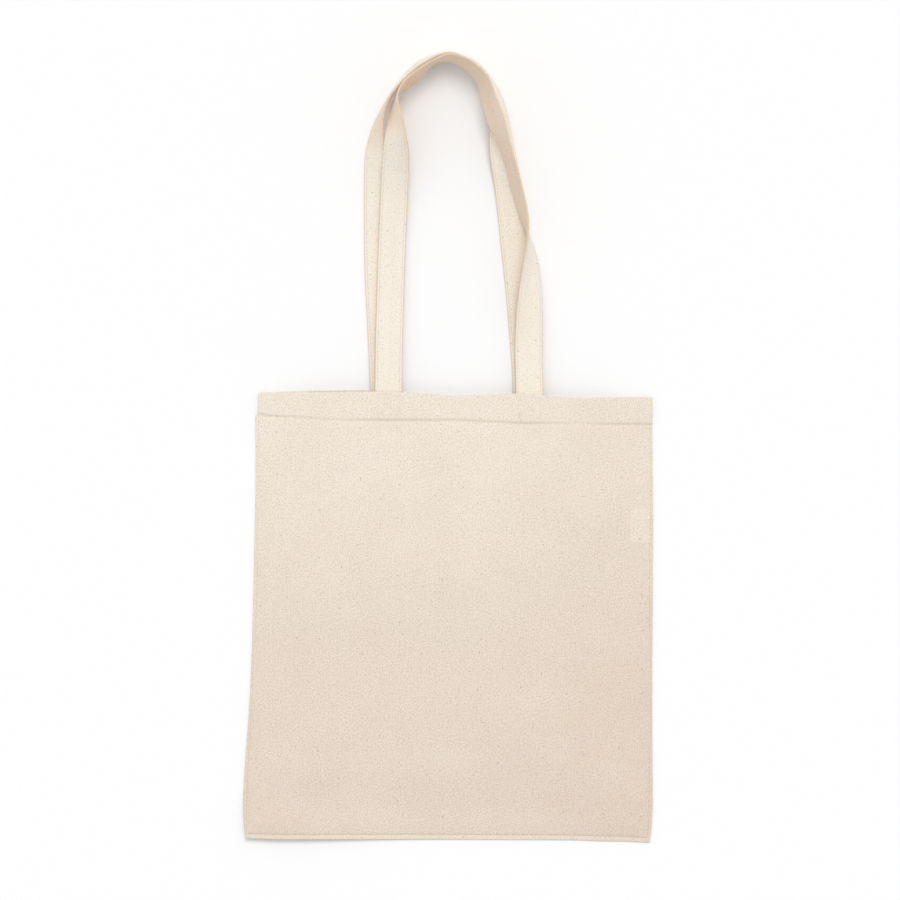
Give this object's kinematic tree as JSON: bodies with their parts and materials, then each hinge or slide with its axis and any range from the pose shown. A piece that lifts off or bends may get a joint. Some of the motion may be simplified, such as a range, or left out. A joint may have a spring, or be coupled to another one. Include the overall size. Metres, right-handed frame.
{
  "type": "tote bag",
  "caption": "Flat canvas tote bag lying on its back, open at a hemmed mouth, with long strap handles sewn inside the hem.",
  "frame": {"origin": "middle of the back panel's outer face, halfway between the bottom seam and the hem's top edge", "axes": "+Z out of the back panel towards the front panel, +Y along the bag towards its mouth and handles, +X to the right seen from the front"},
  "size_m": [0.3854, 0.7453, 0.0416],
  "materials": {
    "canvas": "undyed cotton canvas, plain weave with seed flecks",
    "strap": "undyed cotton canvas, folded into a strap",
    "thread": "undyed cotton sewing thread",
    "label": "blank woven satin ribbon"
  },
  "bodies": {
    "back": {"back_panel": "canvas", "back_handle_left_end": "strap", "back_handle_right_end": "strap", "back_hem_stitching": "thread", "back_handle_left_box_stitch": "thread", "back_handle_right_box_stitch": "thread", "left_seam_stitching": "thread", "right_seam_stitching": "thread", "bottom_seam_stitching": "thread", "left_overlock": "thread", "right_overlock": "thread", "bottom_overlock": "thread", "care_label": "label"},
    "front": {"front_panel": "canvas", "front_handle_left_end": "strap", "front_handle_right_end": "strap", "front_hem_stitching": "thread", "front_handle_left_box_stitch": "thread", "front_handle_right_box_stitch": "thread"},
    "front_loop": {"front_handle": "strap", "front_handle_outer_stitching": "thread", "front_handle_inner_stitching": "thread"},
    "back_loop": {"back_handle": "strap", "back_handle_outer_stitching": "thread", "back_handle_inner_stitching": "thread"}
  },
  "joints": [
    {"name": "mouth_open", "type": "hinge", "parent": "back", "child": "front", "pos_m": [0, -0.2113, 0.0019], "axis": [1, 0, 0], "range_deg": [0, 8]},
    {"name": "front_handle_swing", "type": "hinge", "parent": "front", "child": "front_loop", "pos_m": [0, 0.2113, 0.0109], "axis": [1, 0, 0], "range_deg": [0, 165]},
    {"name": "back_handle_swing", "type": "hinge", "parent": "back", "child": "back_loop", "pos_m": [0, 0.2113, 0.0009], "axis": [1, 0, 0], "range_deg": [-165, 0]}
  ]
}
